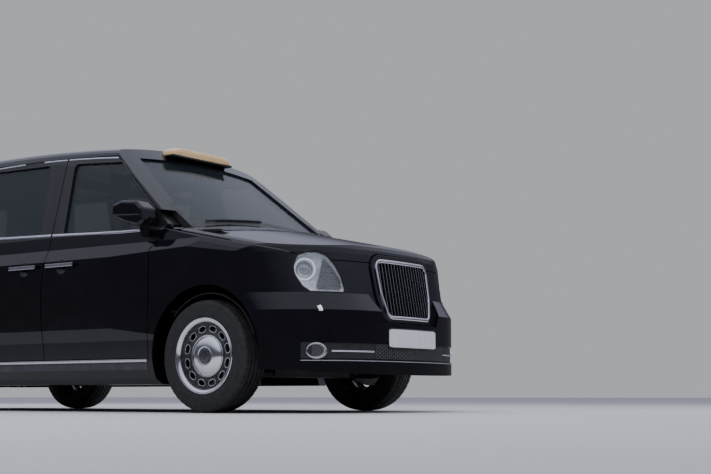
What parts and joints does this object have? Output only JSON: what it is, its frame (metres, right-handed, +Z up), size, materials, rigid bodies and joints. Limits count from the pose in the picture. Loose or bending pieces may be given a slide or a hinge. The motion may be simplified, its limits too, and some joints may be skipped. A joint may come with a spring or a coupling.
{
  "type": "electric taxi cab",
  "caption": "Tall four-door taxi cab with rear-hinged back doors, upright barred grille, bonnet and tailgate, free-rolling wheels and coupled steering.",
  "frame": {"origin": "on the ground, at the middle of the length and width", "axes": "+X forward, +Y to the cab's left, +Z up"},
  "size_m": [4.8631, 2.036, 1.8879],
  "materials": {
    "black_paint": "gloss",
    "clear_glass": "polished",
    "tyre_rubber": "matte",
    "wheel_steel": "satin",
    "grille_chrome": "polished",
    "lamp_lens": "polished",
    "red_lens": "gloss",
    "sign_lens": "satin",
    "black_plastic": "matte",
    "chassis_steel": "satin",
    "power_casing": "cast",
    "seat_trim": "grained",
    "partition_panel": "satin",
    "steering_leather": "grained"
  },
  "bodies": {
    "body": {"arch_liners": "black_plastic", "cowl": "black_plastic", "dashboard": "black_plastic", "driver_seat": "seat_trim", "floor_pan": "chassis_steel", "front_bumper": "black_paint", "front_lamps": "lamp_lens", "front_suspension": "chassis_steel", "grille": "grille_chrome", "partition": "partition_panel", "passenger_seats": "seat_trim", "power_units": "power_casing", "quarter_glass": "clear_glass", "rear_axle": "chassis_steel", "rear_bumper": "black_paint", "roof": "black_paint", "roof_sign": "sign_lens", "side_frame_left": "black_paint", "side_frame_right": "black_paint", "tail_lamps": "red_lens", "windscreen": "clear_glass", "wing_left": "black_paint", "wing_right": "black_paint"},
    "front_door_left_body": {"front_door_left": "black_paint", "front_door_glass_left": "clear_glass", "mirror_left": "black_paint"},
    "rear_door_left_body": {"rear_door_left": "black_paint", "rear_door_glass_left": "clear_glass"},
    "knuckle_left_body": {"knuckle_left": "chassis_steel"},
    "front_wheel_left_body": {"wheel_front_left": "wheel_steel", "tyre_front_left": "tyre_rubber"},
    "rear_wheel_left_body": {"wheel_rear_left": "wheel_steel", "tyre_rear_left": "tyre_rubber"},
    "front_door_right_body": {"front_door_right": "black_paint", "front_door_glass_right": "clear_glass", "mirror_right": "black_paint"},
    "rear_door_right_body": {"rear_door_right": "black_paint", "rear_door_glass_right": "clear_glass"},
    "knuckle_right_body": {"knuckle_right": "chassis_steel"},
    "front_wheel_right_body": {"wheel_front_right": "wheel_steel", "tyre_front_right": "tyre_rubber"},
    "rear_wheel_right_body": {"wheel_rear_right": "wheel_steel", "tyre_rear_right": "tyre_rubber"},
    "bonnet_body": {"bonnet": "black_paint"},
    "tailgate_body": {"tailgate": "black_paint", "tailgate_glass": "clear_glass"},
    "steering_wheel_body": {"steering_wheel": "steering_leather"}
  },
  "joints": [
    {"name": "steer_left", "type": "hinge", "parent": "body", "child": "knuckle_left_body", "pos_m": [1.4735, 0.812, 0.35], "axis": [0, 0, 1], "range_deg": [-50, 50]},
    {"name": "steer_right", "type": "hinge", "parent": "body", "child": "knuckle_right_body", "pos_m": [1.4735, -0.812, 0.35], "axis": [0, 0, 1], "range_deg": [-50, 50]},
    {"name": "front_wheel_spin_left", "type": "hinge", "parent": "knuckle_left_body", "child": "front_wheel_left_body", "pos_m": [1.4735, 0.812, 0.35], "axis": [0, 1, 0], "continuous": true},
    {"name": "rear_wheel_spin_left", "type": "hinge", "parent": "body", "child": "rear_wheel_left_body", "pos_m": [-1.5115, 0.812, 0.35], "axis": [0, 1, 0], "continuous": true},
    {"name": "front_wheel_spin_right", "type": "hinge", "parent": "knuckle_right_body", "child": "front_wheel_right_body", "pos_m": [1.4735, -0.812, 0.35], "axis": [0, 1, 0], "continuous": true},
    {"name": "rear_wheel_spin_right", "type": "hinge", "parent": "body", "child": "rear_wheel_right_body", "pos_m": [-1.5115, -0.812, 0.35], "axis": [0, 1, 0], "continuous": true},
    {"name": "steering_wheel_turn", "type": "hinge", "parent": "body", "child": "steering_wheel_body", "pos_m": [0.70721, -0.38, 0.95452], "axis": [-0.8988, 0, 0.4384], "range_deg": [-520, 520]},
    {"name": "front_door_left_hinge", "type": "hinge", "parent": "body", "child": "front_door_left_body", "pos_m": [1.0735, 0.894, 0.8], "axis": [0, 0, -1], "range_deg": [0, 68]},
    {"name": "rear_door_left_hinge", "type": "hinge", "parent": "body", "child": "rear_door_left_body", "pos_m": [-1.115, 0.904, 0.8], "axis": [0, 0, 1], "range_deg": [0, 88]},
    {"name": "front_door_right_hinge", "type": "hinge", "parent": "body", "child": "front_door_right_body", "pos_m": [1.0735, -0.894, 0.8], "axis": [0, 0, 1], "range_deg": [0, 68]},
    {"name": "rear_door_right_hinge", "type": "hinge", "parent": "body", "child": "rear_door_right_body", "pos_m": [-1.115, -0.904, 0.8], "axis": [0, 0, -1], "range_deg": [0, 88]},
    {"name": "bonnet_hinge", "type": "hinge", "parent": "body", "child": "bonnet_body", "pos_m": [1.165, 0, 1.216], "axis": [0, -1, 0], "range_deg": [0, 50]},
    {"name": "tailgate_hinge", "type": "hinge", "parent": "body", "child": "tailgate_body", "pos_m": [-2.015, 0, 1.828], "axis": [0, 1, 0], "range_deg": [0, 85]}
  ],
  "couplings": [
    {"joint": "steer_right", "follows": "steer_left", "ratio": 1},
    {"joint": "steering_wheel_turn", "follows": "steer_left", "ratio": 10}
  ]
}
